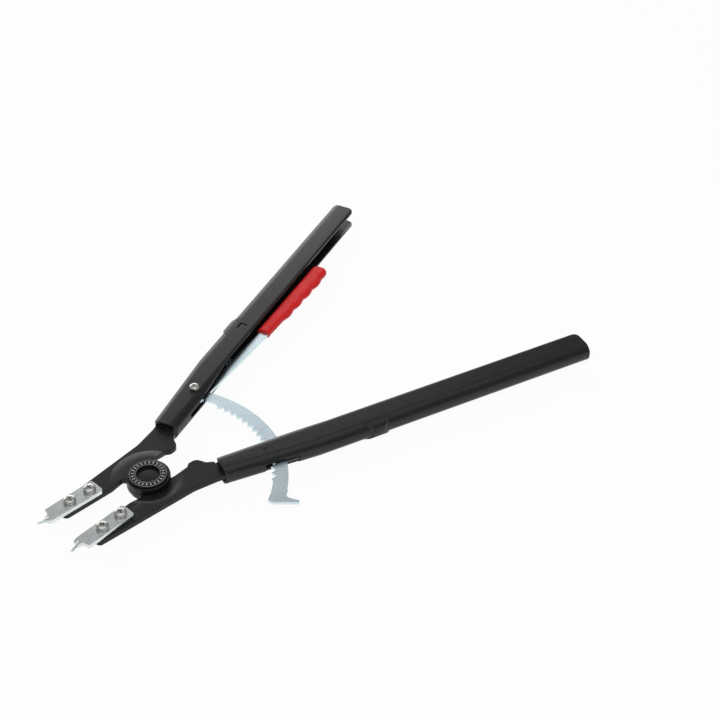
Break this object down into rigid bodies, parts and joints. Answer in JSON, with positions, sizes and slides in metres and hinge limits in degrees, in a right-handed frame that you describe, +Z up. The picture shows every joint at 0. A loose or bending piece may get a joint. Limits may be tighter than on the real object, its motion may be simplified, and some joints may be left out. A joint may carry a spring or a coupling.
{
  "type": "circlip pliers",
  "caption": "Large hand pliers for opening shaft retaining rings, with pressed channel handles, screwed-on tips and a ratchet rack that locks the opening.",
  "frame": {"origin": "on the main pivot axis, at the flat end of the pivot bolt, on the surface that the tool lies on", "axes": "+X from the pivot to the handles' rear ends along the centre line, +Y to the arm that carries the lever, +Z up along the pivot"},
  "size_m": [0.5543, 0.374, 0.0243],
  "materials": {
    "black_paint": "satin",
    "black_steel": "satin",
    "bright_steel": "satin",
    "zinc": "satin",
    "spring_steel": "satin",
    "red_vinyl": "gloss"
  },
  "bodies": {
    "lower_arm": {"lower_jaw": "black_paint", "lower_tip_insert": "bright_steel", "lower_tip_screws": "zinc", "lower_handle": "black_paint", "catch_pin": "black_steel", "pivot_bolt": "black_steel", "pivot_cap": "black_steel", "pivot_washer": "spring_steel", "pivot_nut": "black_steel"},
    "upper_arm": {"upper_jaw": "black_paint", "upper_tip_insert": "bright_steel", "upper_tip_screws": "zinc", "upper_handle": "black_paint", "lever_screw": "zinc", "lever_bush": "spring_steel", "lever_spacer": "spring_steel", "lever_washer": "spring_steel", "lever_nut": "zinc", "lever_spring": "spring_steel"},
    "ratchet": {"ratchet_lever": "zinc", "lever_grip": "red_vinyl"}
  },
  "joints": [
    {"name": "handle_hinge", "type": "hinge", "parent": "lower_arm", "child": "upper_arm", "pos_m": [0, 0, 0.01025], "axis": [0, 0, 1], "range_deg": [-32, 16]},
    {"name": "lever_hinge", "type": "hinge", "parent": "upper_arm", "child": "ratchet", "pos_m": [0.10962, 0.05783, 0.01025], "axis": [0, 0, 1], "range_deg": [-1.4, 5], "stiffness_Nm_per_rad": 2, "springref_deg": -1.4, "deforming": ["lever_spring"]}
  ]
}
